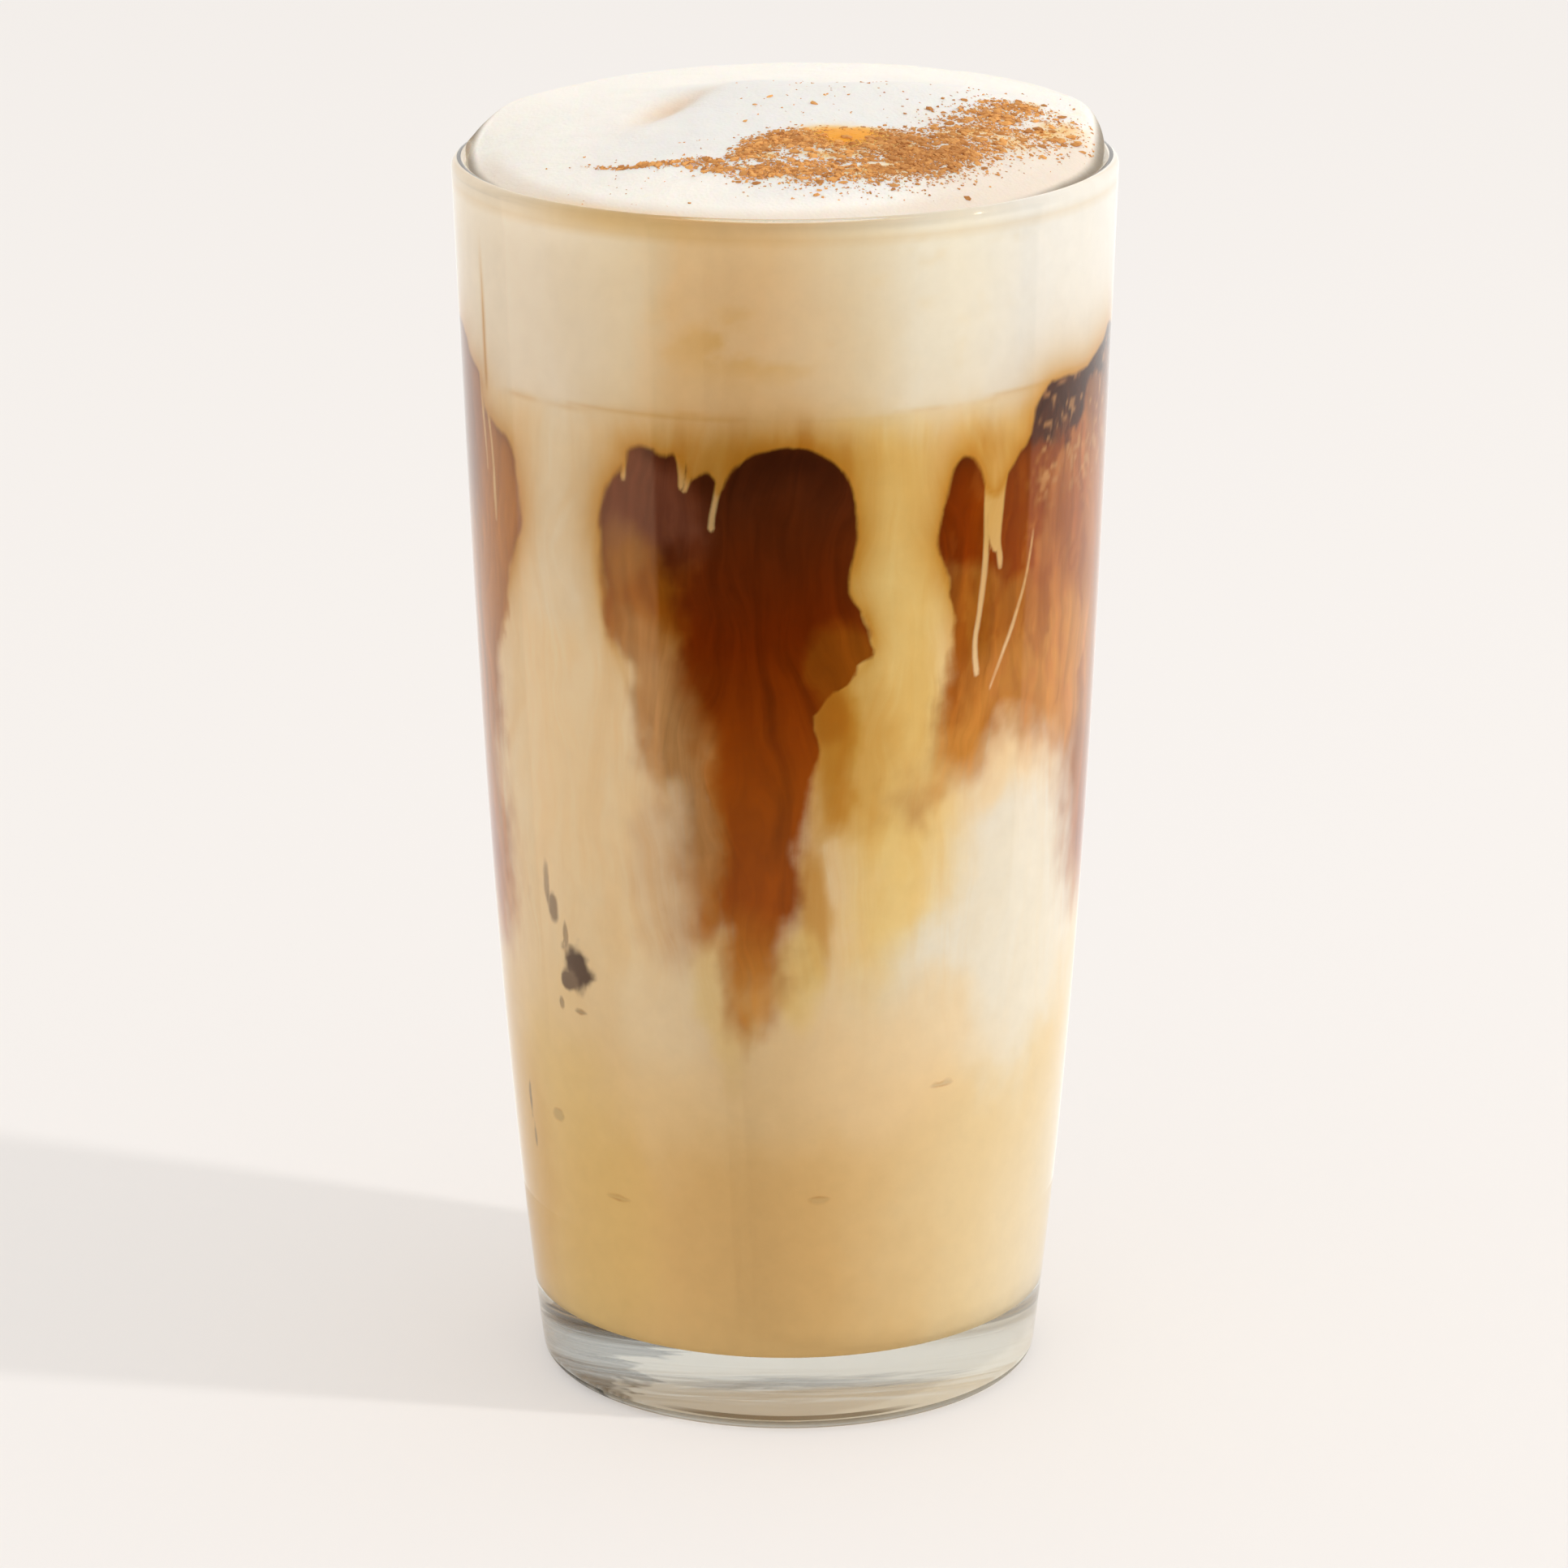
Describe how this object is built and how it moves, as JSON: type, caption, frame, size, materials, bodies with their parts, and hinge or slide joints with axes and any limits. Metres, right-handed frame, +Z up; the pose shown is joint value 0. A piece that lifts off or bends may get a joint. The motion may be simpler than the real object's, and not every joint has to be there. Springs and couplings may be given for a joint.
{
  "type": "dirty chai in a glass tumbler",
  "caption": "Tapered clear tumbler filled with marbled milky chai and espresso, under a domed milk foam streaked with ground cinnamon.",
  "frame": {"origin": "middle of the glass's foot, on the surface that it stands on", "axes": "+Z up along the glass's axis; -Y towards the side with the broad espresso clouds; +X towards the broad end of the cinnamon"},
  "size_m": [0.08, 0.08, 0.1591],
  "materials": {
    "glass": "clear soda-lime glass, fire-polished, smooth all over",
    "drink": "opaque milky chai marbled with darker espresso, wet and smooth against the glass",
    "foam": "warm white milk foam, soft and matt with very fine bubbles, ground cinnamon on top"
  },
  "bodies": {
    "root": {"glass": "glass", "drink": "drink", "foam": "foam"}
  },
  "joints": []
}
